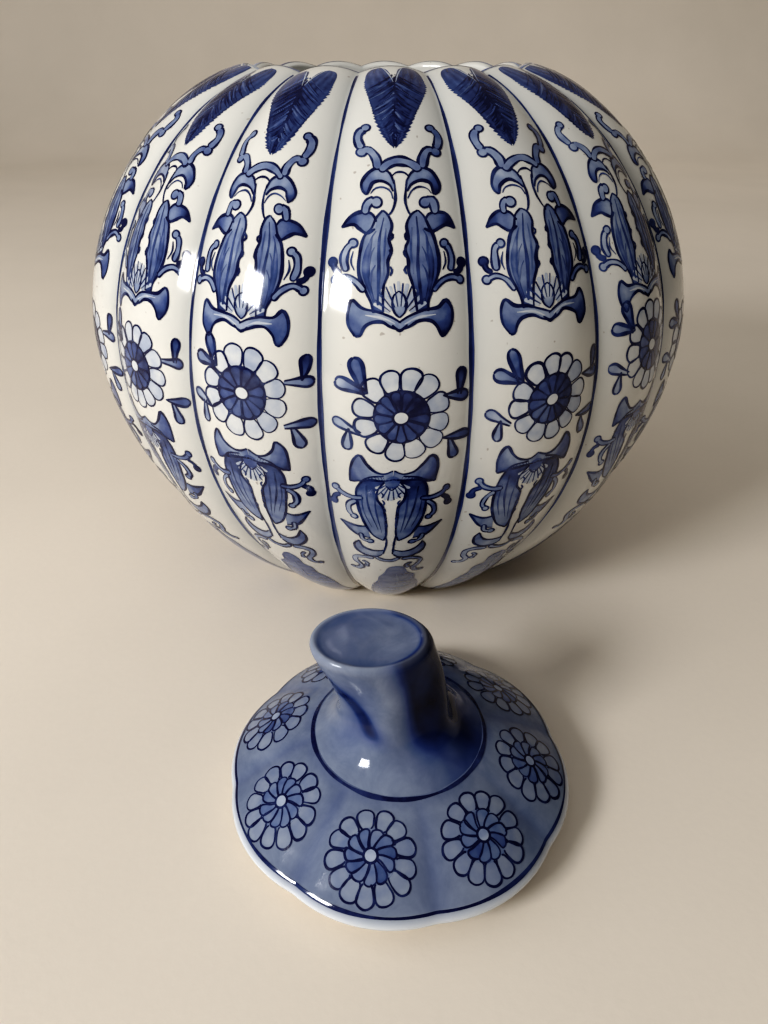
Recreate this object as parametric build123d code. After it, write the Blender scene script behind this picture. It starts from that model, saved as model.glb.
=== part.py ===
"""Ribbed porcelain jar with its lid lying on the table in front of it.

All lengths are in millimetres. The origin is the centre of the jar's foot, on the table, and +Z is up.
The jar stands on the origin. The lid rests upright on its flange on the -Y side of the jar.
"""

from build123d import *
import os
from math import cos, pi, sin, tan

# ---- driving dimensions: jar ----
RIB_COUNT = 16
BODY_RADIUS = 125.0         # at the crown of a rib, at the belly
BELLY_Z = 115.0
BODY_HEIGHT = 209.5         # top of the rib crowns at the mouth
RIM_RADIUS = 56.0           # where the rib crowns turn down into the mouth
FOOT_EDGE_RADIUS = 64.0     # rib crowns at the bottom of the wall
FOOT_GAP = 1.2              # the ribbed wall stops this far above the table
FOOT_SLOPE = 37.0           # degrees above level, at the bottom edge
RIM_SLOPE = 12.0            # degrees below level, going out from the rim
GROOVE_DEPTH = 4.0          # between ribs, over the belly and the lower wall
RIM_GROOVE_DEPTH = 2.1      # the grooves get shallower towards the mouth
WALL = 4.6                  # thinnest wall, behind a groove
MOUTH_RADIUS = 51.5         # bore of the throat
LIP_THICKNESS = 6.5
CEILING_Z = BODY_HEIGHT - LIP_THICKNESS
CEILING_RADIUS = RIM_RADIUS + 8.0   # where the inside of the shoulder meets the flat behind the lip
COLLAR_LENGTH = 13.0
COLLAR_WALL = 4.0
FLOOR_Z = 10.0
FLOOR_RADIUS = 46.0
FOOT_RING_OUTER = 56.5
FOOT_RING_INNER = 49.5
FLOOR_SWEEP = 6.0           # the inside curves up from the floor over at least this height
EAVES_SWEEP = 2.0           # and in to the flat behind the lip over at least this height
BASE_RECESS = 4.5           # the underside inside the foot ring

# Handle lengths of the two curves that make the wall's outline.
FOOT_HANDLE = 39.0
BELLY_HANDLE = 47.5
SHOULDER_HANDLE = 33.5

# The lip rolls over inside the rim: way in from the rim, way down from the top, groove depth.
LIP_ROWS = (
    (2.6, 0.1, 1.7),
    (5.2, 1.6, 1.0),
    (8.5, 6.0, 0.0),
)

# ---- driving dimensions: lid ----
LID_Y = -166.0              # lid's axis, in front of the jar's
LOBE_COUNT = 8
LOBE_TURN = -13.0           # degrees that the front lobe is turned from -Y
LOBE_DEPTH = 1.4            # of the grooves between the lobes
LID_RADIUS = 56.4
FLANGE_DEPTH = 7.0
FLANGE_OUTER = 49.5
FLANGE_INNER = 45.5
LID_SHOULDER_Z = 28.0       # flat that carries the stem
LID_CROWN = 5.0             # thickness under that flat
STEM_BASE_RADIUS = 27.0
STEM_TOP_Z = 66.0
STEM_LEAN = -9.0            # sideways shift of the stem's top
STEM_FLUTES = 5

# Radius and height along the top of a lobe, from under the rolled lip to the stem.
LID_ROWS = (
    (LID_RADIUS - 2.4, FLANGE_DEPTH),
    (LID_RADIUS, FLANGE_DEPTH + 2.8),
    (LID_RADIUS - 1.4, FLANGE_DEPTH + 5.3),
    (LID_RADIUS - 3.4, FLANGE_DEPTH + 6.9),
    (45.0, 19.7),
    (36.0, 24.5),
    (STEM_BASE_RADIUS, LID_SHOULDER_Z),
)

# The same for the inside of the dome, from the flange to the axis.
LID_INNER_ROWS = (
    (FLANGE_INNER, FLANGE_DEPTH + 5.0),
    (38.0, 17.0),
    (28.0, 21.0),
    (0.0, LID_SHOULDER_Z - LID_CROWN),
)

# Radius, height, share of the lean, depth over width, flute depth and twist of the stem's sections.
STEM_ROWS = (
    (STEM_BASE_RADIUS - 0.1, LID_SHOULDER_Z, 0.0, 1.0, 0.0, 0.0),
    (23.6, 30.2, 0.0, 0.99, 0.4, 0.1),
    (20.4, 33.8, 0.02, 0.96, 1.0, 0.2),
    (18.2, 38.5, 0.08, 0.92, 1.5, 0.35),
    (17.6, 45.0, 0.2, 0.86, 1.6, 0.5),
    (18.0, 54.0, 0.5, 0.81, 1.2, 0.7),
    (18.5, 61.0, 0.82, 0.79, 0.5, 0.85),
    (18.5, STEM_TOP_Z - 1.6, 0.95, 0.78, 0.1, 0.95),
    (17.3, STEM_TOP_Z, 1.0, 0.78, 0.0, 1.0),
)

LOFT_STEPS = 6              # sections in each half of the wall's outline
LID_STEPS = 12
STEM_POINTS = 40            # points around each section of the stem
RUN_ON = 8.0                # shapes run on this far past the places where they are cut


def on_ring(radius, z, degrees):
    """A point at an angle from -Y, counted towards +X."""
    angle = degrees * pi / 180
    return Vector(radius * sin(angle), -radius * cos(angle), z)


def outline():
    """The lower and upper curves of the rib crowns, with X as the radius."""
    foot = Vector(FOOT_EDGE_RADIUS, 0, FOOT_GAP)
    belly = Vector(BODY_RADIUS, 0, BELLY_Z)
    rim = Vector(RIM_RADIUS, 0, BODY_HEIGHT)
    foot_way = Vector(FOOT_HANDLE, 0, 0).rotate(Axis.Y, -FOOT_SLOPE)
    rim_way = Vector(SHOULDER_HANDLE, 0, 0).rotate(Axis.Y, RIM_SLOPE)
    up = Vector(0, 0, BELLY_HANDLE)
    lower = Edge.make_bezier(foot, foot + foot_way, belly - up, belly)
    upper = Edge.make_bezier(belly, belly + up, rim + rim_way, rim)
    return lower, upper


def groove_depth(height_share):
    """Groove depth for a share of the way from the belly to the rim."""
    return GROOVE_DEPTH + (RIM_GROOVE_DEPTH - GROOVE_DEPTH) * height_share**2


def stations():
    """(crown point, outward normal, groove depth) from the foot to the rim."""
    lower, upper = outline()
    found = []
    for step in range(LOFT_STEPS):
        share = step / LOFT_STEPS
        found.append((lower @ share, normal(lower % share), GROOVE_DEPTH))
    for step in range(LOFT_STEPS + 1):
        share = step / LOFT_STEPS
        found.append((upper @ share, normal(upper % share), groove_depth(share)))
    return found


def normal(tangent):
    return Vector(tangent.Z, 0, -tangent.X)


def ribbed_ring(crown, groove, count=RIB_COUNT, turn=0.0):
    """Closed wire of arcs that meet in grooves; crown and groove are (radius, z)."""
    pitch = 360 / count
    arcs = []
    for rib in range(count):
        start = on_ring(groove[0], groove[1], turn + (rib - 0.5) * pitch)
        middle = on_ring(crown[0], crown[1], turn + rib * pitch)
        end = on_ring(groove[0], groove[1], turn + (rib + 0.5) * pitch)
        arcs.append(Edge.make_three_point_arc(start, middle, end))
    return Wire(arcs)


def ribbed_body():
    """The whole ribbed outside as one solid, run on past both of its ends."""
    slope = FOOT_SLOPE * pi / 180
    crown, out, depth = stations()[0]
    start = crown.X - RUN_ON / tan(slope)
    low = crown.Z - RUN_ON
    rings = [ribbed_ring((start, low), (start - depth / sin(slope), low))]
    for crown, out, depth in stations():
        groove = crown - out * depth
        rings.append(ribbed_ring((crown.X, crown.Z), (groove.X, groove.Z)))
    for inward, down, depth in LIP_ROWS:
        radius = RIM_RADIUS - inward
        height = BODY_HEIGHT - down
        rings.append(ribbed_ring((radius, height), (radius, height - depth)))
    return Solid.make_loft(rings)


def jar_hollow():
    """The space inside the jar, out through its mouth, as a turned solid."""
    floor_edge = Vector(FLOOR_RADIUS, 0, FLOOR_Z)
    ceiling_edge = Vector(CEILING_RADIUS, 0, CEILING_Z)
    points = [floor_edge]
    for crown, out, depth in stations():
        point = crown - out * (depth + WALL)
        if FLOOR_Z + FLOOR_SWEEP < point.Z < CEILING_Z - EAVES_SWEEP:
            points.append(point)
    points.append(ceiling_edge)
    above = BODY_HEIGHT + RUN_ON
    corners = [
        ceiling_edge,
        Vector(MOUTH_RADIUS, 0, CEILING_Z),
        Vector(MOUTH_RADIUS, 0, above),
        Vector(0, 0, above),
        Vector(0, 0, FLOOR_Z),
        floor_edge,
    ]
    sides = [Edge.make_line(a, b) for a, b in zip(corners, corners[1:])]
    face = Face(Wire([Edge.make_spline(points)] + sides))
    return revolve(face, Axis.Z)


def slab(low, high):
    """Everything around the jar between two heights."""
    span = 4 * BODY_RADIUS
    return Pos(0, 0, (low + high) / 2) * Box(span, span, high - low)


def tube(outer, inner, low, high):
    ring = Cylinder(outer, high - low) - Cylinder(inner, high - low)
    return Pos(0, 0, (low + high) / 2) * ring


def jar_parts():
    shell = ribbed_body() - jar_hollow()
    recess = Pos(0, 0, BASE_RECESS / 2) * Cylinder(FOOT_RING_INNER, BASE_RECESS)
    lower = (shell & slab(FOOT_GAP, BELLY_Z)) - recess
    upper = shell & slab(BELLY_Z, BODY_HEIGHT + RUN_ON)
    collar_low = CEILING_Z - COLLAR_LENGTH
    return {
        "jar_wall_lower": lower,
        "jar_wall_upper": upper,
        "jar_mouth_collar": tube(MOUTH_RADIUS + COLLAR_WALL, MOUTH_RADIUS, collar_low, CEILING_Z),
        "jar_foot_ring": tube(FOOT_RING_OUTER, FOOT_RING_INNER, 0, FOOT_GAP),
    }


def lid_dome():
    """Shallow lobed shell with a rolled lip, hollow underneath."""
    curve = Edge.make_spline([Vector(radius, 0, z) for radius, z in LID_ROWS])
    rings = []
    for step in range(LID_STEPS + 1):
        share = step / LID_STEPS
        point = curve @ share
        depth = LOBE_DEPTH * min(1, 2 * (1 - share))
        drop = depth / 2 * min(1, 3 * share)
        groove = (point.X - depth, point.Z - drop)
        rings.append(ribbed_ring((point.X, point.Z), groove, LOBE_COUNT, LOBE_TURN))
    return Solid.make_loft(rings) - lid_hollow()


def lid_hollow():
    """The space under the dome, inside the flange, as a turned solid."""
    points = [Vector(radius, 0, z) for radius, z in LID_INNER_ROWS]
    centre = Vector(0, 0, FLANGE_DEPTH - RUN_ON)
    foot = Vector(FLANGE_INNER, 0, centre.Z)
    corners = [points[-1], centre, foot, points[0]]
    sides = [Edge.make_line(a, b) for a, b in zip(corners, corners[1:])]
    return revolve(Face(Wire([Edge.make_spline(points)] + sides)), Axis.Z)


def stem_ring(radius, z, lean, squash, flute, twist):
    """Oval wire with shallow flutes; squash is its depth over its width."""
    points = []
    for step in range(STEM_POINTS):
        angle = 2 * pi * step / STEM_POINTS
        pull = flute * (0.5 + 0.5 * cos(STEM_FLUTES * (angle - twist)))
        reach = radius - pull
        points.append(Vector(lean + reach * sin(angle), -reach * squash * cos(angle), z))
    return Wire([Edge.make_spline(points, periodic=True)])


def lid_stem():
    """Stalk-shaped handle: a flared base, a leaning fluted neck and a flat oval top."""
    rings = []
    for radius, z, lean_share, squash, flute, twist in STEM_ROWS:
        rings.append(stem_ring(radius, z, STEM_LEAN * lean_share, squash, flute, twist))
    return Solid.make_loft(rings)


def lid_parts():
    place = Pos(0, LID_Y, 0)
    return {
        "lid_dome": place * lid_dome(),
        "lid_flange": place * tube(FLANGE_OUTER, FLANGE_INNER, 0, FLANGE_DEPTH),
        "lid_stem": place * lid_stem(),
    }


def main():
    os.makedirs("parts", exist_ok=True)
    for node, shape in {**jar_parts(), **lid_parts()}.items():
        export_step(shape, f"parts/{node}.step")


main()
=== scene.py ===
"""Looks of a ribbed blue-and-white porcelain jar and its lid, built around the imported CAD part.

Lengths are in millimetres in the part's own frame until mesh_object() turns them into metres.
A place on the jar's wall is (w, s): w runs across a rib from its crown, to the right of someone who
faces it, and s runs down along the crown from the rim. The painting is thin sheets just above the glaze.
"""

import math
import random

import bpy
import numpy as np
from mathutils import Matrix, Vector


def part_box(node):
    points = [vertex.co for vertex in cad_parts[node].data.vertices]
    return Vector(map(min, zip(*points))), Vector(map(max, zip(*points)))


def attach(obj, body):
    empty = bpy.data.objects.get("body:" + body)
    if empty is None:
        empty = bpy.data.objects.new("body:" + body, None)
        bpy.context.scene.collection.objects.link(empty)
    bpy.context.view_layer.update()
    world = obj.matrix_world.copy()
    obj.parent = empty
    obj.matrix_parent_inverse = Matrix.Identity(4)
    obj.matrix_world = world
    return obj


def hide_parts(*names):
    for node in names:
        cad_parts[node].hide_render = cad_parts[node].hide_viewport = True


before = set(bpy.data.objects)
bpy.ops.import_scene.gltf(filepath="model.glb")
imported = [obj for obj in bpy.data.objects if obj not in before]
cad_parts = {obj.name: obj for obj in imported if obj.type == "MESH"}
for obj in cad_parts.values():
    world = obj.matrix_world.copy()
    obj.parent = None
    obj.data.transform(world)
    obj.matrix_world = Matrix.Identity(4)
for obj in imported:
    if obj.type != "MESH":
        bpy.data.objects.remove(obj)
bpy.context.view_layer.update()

METRES = 0.001


def node_box(name):
    """Lowest and highest corner of a CAD node, in millimetres."""
    low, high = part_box(name)
    return np.array(low) / METRES, np.array(high) / METRES


# ---- the jar's wall ----
lower_low, lower_high = node_box("jar_wall_lower")
upper_high = node_box("jar_wall_upper")[1]
foot_high = node_box("jar_foot_ring")[1]
collar_low, collar_high = node_box("jar_mouth_collar")

RIBS = 16
PITCH = 2 * math.pi / RIBS
HALF = PITCH / 2
BELLY_RADIUS = upper_high[0]
BELLY_Z = lower_high[2]
WALL_FOOT_Z = lower_low[2]
RIM_Z = upper_high[2]
RIM_RADIUS = 56.0
FOOT_EDGE_RADIUS = 64.0
FOOT_SLOPE = math.radians(37)
RIM_SLOPE = math.radians(12)
FOOT_HANDLE = 39.0
BELLY_HANDLE = 47.5
SHOULDER_HANDLE = 33.5
GROOVE_DEPTH = 4.0
RIM_GROOVE_DEPTH = 2.1
LIP_ROWS = ((2.6, 0.1, 1.7), (5.2, 1.6, 1.0))     # way in, way down, groove depth
THROAT_RADIUS = 51.5
COLLAR_RADIUS = collar_high[0]
WALL = 4.6
FLOOR_Z = 10.0
FLOOR_RADIUS = 46.0
FOOT_OUTER = foot_high[0]
FOOT_INNER = 49.5
RECESS_Z = 4.5
RIB_COLUMNS = 22
# The angle of each column of points round the jar from the crown of its own rib.
RIB_TURNS = (np.arange(RIBS * RIB_COLUMNS) / RIB_COLUMNS + 0.5) % 1 * PITCH - HALF
PROFILE_POINTS = 150
SHARP_ANGLE = math.radians(72)
NO_AREA = 1e-9


def bezier(points, count):
    a, b, c, d = (np.array(p, float) for p in points)
    t = np.linspace(0, 1, count)[:, None]
    return (1 - t) ** 3 * a + 3 * (1 - t) ** 2 * t * b + 3 * (1 - t) * t**2 * c + t**3 * d


def along(points):
    """Distance from the first point to each point along a line of them."""
    steps = np.linalg.norm(np.diff(points, axis=0), axis=1)
    return np.concatenate([[0], np.cumsum(steps)])


def smooth(points, spacing):
    """Evenly spaced points along a Catmull-Rom curve through the given ones."""
    p = np.array(points, float)
    p = np.vstack([2 * p[0] - p[1], p, 2 * p[-1] - p[-2]])
    t = np.linspace(0, 1, 12, endpoint=False)[:, None]
    pieces = []
    for a, b, c, d in zip(p, p[1:], p[2:], p[3:]):
        curve = 2 * b + (c - a) * t + (2 * a - 5 * b + 4 * c - d) * t**2 + (3 * b - a - 3 * c + d) * t**3
        pieces.append(curve / 2)
    dense = np.vstack(pieces + [p[-2:-1]])
    reach = along(dense)
    count = max(3, int(math.ceil(reach[-1] / spacing)) + 1)
    return spread(dense, count)


def spread(points, count):
    """The same line with count evenly spaced points."""
    reach = along(points)
    places = np.linspace(0, reach[-1], count)
    return np.stack([np.interp(places, reach, points[:, i]) for i in range(points.shape[1])], 1)


def outward_from(line):
    """Unit vectors square to a (radius, z) line down the wall, pointing away from the inside."""
    way = np.gradient(line, axis=0)
    return np.stack([-way[:, 1], way[:, 0]], 1) / np.linalg.norm(way, axis=1)[:, None]


def wall_table():
    """Rows of (s, crown radius, crown z, groove radius, groove z) from the lip to the foot."""
    foot = (FOOT_EDGE_RADIUS, WALL_FOOT_Z)
    belly = (BELLY_RADIUS, BELLY_Z)
    rim = (RIM_RADIUS, RIM_Z)
    foot_way = (foot[0] + FOOT_HANDLE * math.cos(FOOT_SLOPE), foot[1] + FOOT_HANDLE * math.sin(FOOT_SLOPE))
    rim_way = (
        rim[0] + SHOULDER_HANDLE * math.cos(RIM_SLOPE), rim[1] - SHOULDER_HANDLE * math.sin(RIM_SLOPE)
    )
    belly_up = (belly[0], belly[1] + BELLY_HANDLE)
    belly_down = (belly[0], belly[1] - BELLY_HANDLE)
    upper = bezier((belly, belly_up, rim_way, rim), PROFILE_POINTS)[::-1]
    lower = bezier((foot, foot_way, belly_down, belly), PROFILE_POINTS)[::-1]
    crown = np.vstack([upper, lower[1:]])
    share = np.concatenate([np.linspace(1, 0, PROFILE_POINTS), np.zeros(PROFILE_POINTS - 1)])
    depth = GROOVE_DEPTH + (RIM_GROOVE_DEPTH - GROOVE_DEPTH) * share**2
    groove = crown - outward_from(crown) * depth[:, None]
    lip = [(RIM_RADIUS - i, RIM_Z - d, RIM_RADIUS - i, RIM_Z - d - g) for i, d, g in LIP_ROWS[::-1]]
    rows = np.vstack([lip + [(*crown[0], *groove[0])], np.hstack([crown, groove])[8::8]])
    rows = smooth(rows, 0.8)
    s = along(rows[:, :2])
    rim_place = np.argmin(np.linalg.norm(rows[:, :2] - crown[0], axis=1))
    return np.column_stack([s - s[rim_place], rows])


WALL_TABLE = wall_table()
WALL_LENGTH = WALL_TABLE[-1, 0]


def scallop(crown, groove, fall, half, turn):
    """An arc through groove, crown and groove: its radius at an angle, and its part of the fall."""
    chord = groove * math.sin(half)
    rise = crown - groove * math.cos(half)
    bend = (chord**2 + rise**2) / (2 * rise)
    centre = crown - bend
    radius = centre * np.cos(turn) + np.sqrt(np.maximum(bend**2 - (centre * np.sin(turn)) ** 2, 0))
    return radius, fall * (crown - radius * np.cos(turn)) / rise


def rib_section(s, turn):
    """Radius and z of the wall at an angle from its rib's crown."""
    rc, zc, rg, zg = (np.interp(s, WALL_TABLE[:, 0], WALL_TABLE[:, i]) for i in range(1, 5))
    radius, change = scallop(rc, rg, zg - zc, HALF, turn)
    return radius, zc + change


def half_width(s):
    return np.interp(s, WALL_TABLE[:, 0], WALL_TABLE[:, 1]) * HALF


def wall_place(rib, w, s):
    """Points on the wall for a rib's (w, s)."""
    turn = w / np.interp(s, WALL_TABLE[:, 0], WALL_TABLE[:, 1])
    turn = np.clip(turn, -HALF, HALF)
    radius, z = rib_section(s, turn)
    angle = rib * PITCH + turn
    return np.stack([radius * np.sin(angle), -radius * np.cos(angle), z], -1)


def lifted(place, u, v, lift):
    """Points a little above a surface place(u, v), and the surface's normals there."""
    step = 0.05
    along_u = place(u + step, v) - place(u - step, v)
    along_v = place(u, v + step) - place(u, v - step)
    normal = np.cross(along_v, along_u)
    normal /= np.linalg.norm(normal, axis=1)[:, None]
    return place(u, v) + normal * lift[:, None], normal


# ---- meshes ----
def mesh_object(name, points, faces, material, body, replaced=(), normals=None, values=None):
    """A smooth piece in metres that rides on a CAD body; values are named numbers at its points."""
    mesh = bpy.data.meshes.new(name)
    mesh.from_pydata((np.array(points) * METRES).tolist(), [], faces)
    mesh.validate()
    mesh.shade_smooth()
    for key, numbers in (values or {}).items():
        attribute = mesh.attributes.new(key, "FLOAT", "POINT")
        attribute.data.foreach_set("value", np.array(numbers, np.float32))
    if normals is None:
        mesh.set_sharp_from_angle(angle=SHARP_ANGLE)
    else:
        mesh.normals_split_custom_set_from_vertices(np.array(normals).tolist())
    mesh.materials.append(material)
    piece = bpy.data.objects.new(name, mesh)
    bpy.context.scene.collection.objects.link(piece)
    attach(piece, body)
    if replaced:
        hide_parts(*replaced)
    return piece


def grid_faces(first, rows, columns):
    """Quads between open rows of points that start at an index."""
    faces = []
    for row in range(rows - 1):
        for column in range(columns - 1):
            a = first + row * columns + column
            faces.append((a, a + 1, a + columns + 1, a + columns))
    return faces


def ring_faces(first, rows, columns):
    """Quads between closed rings of points that start at an index."""
    faces = []
    for row in range(rows - 1):
        a = first + row * columns
        for i in range(columns):
            j = (i + 1) % columns
            faces.append((a + i, a + j, a + columns + j, a + columns + i))
    return faces


def skin_faces(rows, columns):
    """Faces of a closed skin: closed rings of points, with a pole point before and after them."""
    top = 1 + rows * columns
    last = top - columns
    faces = ring_faces(1, rows, columns)
    faces += [(0, 1 + (i + 1) % columns, 1 + i) for i in range(columns)]
    faces += [(top, last + i, last + (i + 1) % columns) for i in range(columns)]
    return faces


def circle(columns):
    """Evenly spaced angles all the way round."""
    return 2 * math.pi * np.arange(columns) / columns


def ring(radius, z, columns):
    """A level ring of points; radius and z may differ from point to point."""
    angle = circle(columns)
    radius = np.broadcast_to(radius, columns)
    z = np.broadcast_to(z, columns)
    return np.stack([radius * np.sin(angle), -radius * np.cos(angle), z], 1)


def fillet_path(corners, radius, steps=4):
    """(radius, z) corners with small round bends at all but the first and the last."""
    path = [corners[0]]
    for before, here, after in zip(corners, corners[1:], corners[2:]):
        here = np.array(here, float)
        ways = [np.array(p, float) - here for p in (before, after)]
        cut = [min(radius, np.linalg.norm(way) / 2.1) * way / np.linalg.norm(way) for way in ways]
        for t in np.linspace(0, 1, steps):
            path.append(tuple(here + cut[0] * (1 - t) ** 2 + cut[1] * t**2))
    path.append(corners[-1])
    return path


def jar_body(material):
    """The whole glazed jar as one closed skin: base, ribbed wall, lip, throat and inside."""
    columns = len(RIB_TURNS)
    rings = []
    # Darkening of the glaze at each point: pooled glaze and painted shade in the grooves and the throat, and
    # painted shade under the base and inside the jar.
    pool_and_shade = []
    in_groove = np.abs(RIB_TURNS) / HALF
    underside = fillet_path([(0.5, RECESS_Z), (FOOT_INNER, RECESS_Z), (FOOT_INNER, WALL_FOOT_Z)], 1.5)
    for radius, z in underside + [(FOOT_OUTER + 1.0, WALL_FOOT_Z)]:
        rings.append(ring(radius, z, columns))
        pool_and_shade.append(np.full(columns, 0.5))
    stations = np.linspace(WALL_LENGTH, 0, 128)
    stations = np.concatenate([stations, np.arange(-0.6, WALL_TABLE[0, 0], -0.6)])
    for s in stations:
        radius, z = rib_section(np.full(columns, s), RIB_TURNS)
        if radius.min() < THROAT_RADIUS + 0.2:
            break
        rings.append(ring(radius, z, columns))
        pool_and_shade.append(in_groove**5)
    edge = rings[-1][:, 2]
    for drop in (0.35, 1.2, 3.0):
        rings.append(ring(THROAT_RADIUS, edge - drop, columns))
        pool_and_shade.append(in_groove**5 * 0.5)
    low = collar_low[2]
    inside = [
        (THROAT_RADIUS, collar_high[2] - 3), (THROAT_RADIUS, low), (COLLAR_RADIUS, low),
        (COLLAR_RADIUS, low + 5),
    ]
    inside = fillet_path(inside, 0.8)[:-1]
    crown = WALL_TABLE[:, 1:3]
    inner = crown - outward_from(crown) * (GROOVE_DEPTH + WALL)
    keep = (inner[:, 1] < low + 4) & (inner[:, 1] > FLOOR_Z + 6)
    inner = smooth(np.vstack([inner[keep][::12], [(FLOOR_RADIUS, FLOOR_Z)]]), 5.0)
    inside += [(COLLAR_RADIUS, low + 4.5)] + [tuple(p) for p in inner] + [
        (FLOOR_RADIUS / 2, FLOOR_Z), (0.5, FLOOR_Z)
    ]
    for radius, z in inside:
        rings.append(ring(radius, z, columns))
        pool_and_shade.append(np.full(columns, 0.15))
    points = np.vstack([[(0, 0, RECESS_Z)]] + rings + [[(0, 0, FLOOR_Z)]])
    values = np.concatenate([[0.5]] + pool_and_shade + [[0.15]])
    faces = skin_faces(len(rings), columns)
    nodes = ("jar_wall_lower", "jar_wall_upper", "jar_mouth_collar")
    return mesh_object(
        "jar_body", points, faces, material, "jar", nodes, values={"pool_and_shade": values}
    )


def turned_ring(name, outer, inner, low, high, centre_y, material, body, node):
    """A closed ring with small rounded edges."""
    columns = 144
    corners = [
        (inner, (low + high) / 2), (inner, low), (outer, low), (outer, high), (inner, high),
        (inner, (low + high) / 2),
    ]
    path = fillet_path(corners, 0.7)[:-1]
    rings = [ring(radius, z, columns) for radius, z in path]
    points = np.vstack(rings) + (0, centre_y, 0)
    faces = ring_faces(0, len(path), columns)
    last = (len(path) - 1) * columns
    faces += [(last + i, last + (i + 1) % columns, (i + 1) % columns, i) for i in range(columns)]
    return mesh_object(name, points, faces, material, body, (node,))


# ---- the lid ----
dome_high = node_box("lid_dome")[1]
flange_low, flange_high = node_box("lid_flange")
stem_high = node_box("lid_stem")[1]

LID_Y = (flange_low[1] + flange_high[1]) / 2
LOBES = 8
LOBE_PITCH = 2 * math.pi / LOBES
LOBE_TURN = math.radians(-13)
LOBE_DEPTH = 1.4
FLANGE_TOP = flange_high[2]
FLANGE_OUTER = flange_high[0]
FLANGE_INNER = 45.5
SHOULDER_Z = dome_high[2]
STEM_TOP_Z = stem_high[2]
LID_ROWS = ((54.0, 7.0), (56.4, 9.8), (55.0, 12.3), (53.0, 13.9), (45.0, 19.7), (36.0, 24.5), (27.0, 28.0))
LID_INNER_ROWS = ((45.5, 12.0), (38.0, 17.0), (28.0, 21.0), (14.0, 22.6), (0.5, 23.0))
STEM_LEAN = -9.0
STEM_FLUTES = 5
# Radius, height, share of the lean, depth over width, flute depth and twist.
STEM_ROWS = (
    (26.9, 28.0, 0.0, 1.0, 0.0, 0.0),
    (23.6, 30.2, 0.0, 0.99, 0.4, 0.1),
    (20.4, 33.8, 0.02, 0.96, 1.0, 0.2),
    (18.2, 38.5, 0.08, 0.92, 1.5, 0.35),
    (17.6, 45.0, 0.2, 0.86, 1.6, 0.5),
    (18.0, 54.0, 0.5, 0.81, 1.2, 0.7),
    (18.5, 61.0, 0.82, 0.79, 0.5, 0.85),
    (18.5, 64.4, 0.95, 0.78, 0.1, 0.95),
    (17.3, 66.0, 1.0, 0.78, 0.0, 1.0),
)
STEM_BASE_FLARE = 34.0
# Painted shade of a crease winds up the left of the stalk: its angles from the front at these heights, and
# its width.
CREASE_WIDTH = 0.26
CREASE_HEIGHTS = (35.0, 42.0, 62.0)
CREASE_ANGLES = np.radians((-18, -30, -80))


def lobe_ring(radius, z, share, angle):
    """Radius and height of the lid at angles from -Y, on the ring with this radius and z at its crowns."""
    depth = LOBE_DEPTH * min(1, 2 * (1 - share))
    if depth < 0.01:
        return np.full(len(angle), radius), np.full(len(angle), z)
    drop = depth / 2 * min(1, 3 * share)
    half = LOBE_PITCH / 2
    turn = (angle - LOBE_TURN + half) % LOBE_PITCH - half
    here, change = scallop(radius, radius - depth, drop, half, turn)
    return here, z - change


LID_LINE = smooth(LID_ROWS, 0.8)
LID_SHARES = along(LID_LINE) / along(LID_LINE)[-1]


def lid_height(x, y):
    """Height of the lid's top at a plan place measured from the lid's axis."""
    angle = np.arctan2(x, -y)
    reach = np.hypot(x, y)
    upper = LID_LINE[:, 0].argmax()
    radii, heights = [], []
    for (radius, z), share in zip(LID_LINE[upper:], LID_SHARES[upper:]):
        r, h = lobe_ring(radius, z, share, angle)
        radii.append(r)
        heights.append(h)
    radii, heights = np.array(radii)[::-1], np.array(heights)[::-1]
    return np.array([np.interp(reach[i], radii[:, i], heights[:, i]) for i in range(len(reach))])


def lid_place(y, x):
    """Points on the lid's top at plan places, which come as (y, x) so that the surface faces up."""
    return np.stack([x, y + LID_Y, lid_height(x, y)], -1)


def lid_shell(material):
    """The lobed dome as one closed skin: top, rolled lip, underside and hollow."""
    columns = LOBES * 26
    angle = circle(columns)
    turn = (angle - LOBE_TURN + LOBE_PITCH / 2) % LOBE_PITCH - LOBE_PITCH / 2
    in_groove = (np.abs(turn) / (LOBE_PITCH / 2)) ** 4
    rings, pool_and_shade, pale = [], [], []

    def add(radius, z, dark, thin):
        rings.append(ring(radius, z, columns))
        pool_and_shade.append(np.broadcast_to(dark, columns))
        pale.append(np.broadcast_to(thin, columns))

    for radius, z in LID_INNER_ROWS[::-1]:
        add(radius, z, 0.0, 1.0)
    for radius, z in fillet_path(
        [LID_INNER_ROWS[0], (FLANGE_INNER, FLANGE_TOP), (FLANGE_OUTER, FLANGE_TOP)], 0.5
    ):
        add(radius, z, 0.0, 1.0)
    for (radius, z), share in zip(LID_LINE, LID_SHARES):
        here, height = lobe_ring(radius, z, share, angle)
        # The glaze runs thin and pale over the lip; the grooves get painted shade, and the dome darkens
        # towards the stem.
        thin = np.clip((13.2 - z) / 3.2, 0, 1) if share < 0.5 else 0.0
        near_stem = np.clip((share - 0.86) / 0.14, 0, 1)
        add(here, height, np.maximum(in_groove * 0.26, near_stem * 0.3), thin)
    points = np.vstack([[(0, 0, LID_INNER_ROWS[-1][1])]] + rings + [[(0, 0, SHOULDER_Z)]]) + (0, LID_Y, 0)
    values = {"pool_and_shade": np.concatenate([[0]] + pool_and_shade + [[0]]), "pale": np.concatenate([[1]] + pale + [[0]])}
    faces = skin_faces(len(rings), columns)
    return mesh_object(
        "lid_shell", points, faces, material, "lid", ("lid_dome",), values=values
    )


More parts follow.
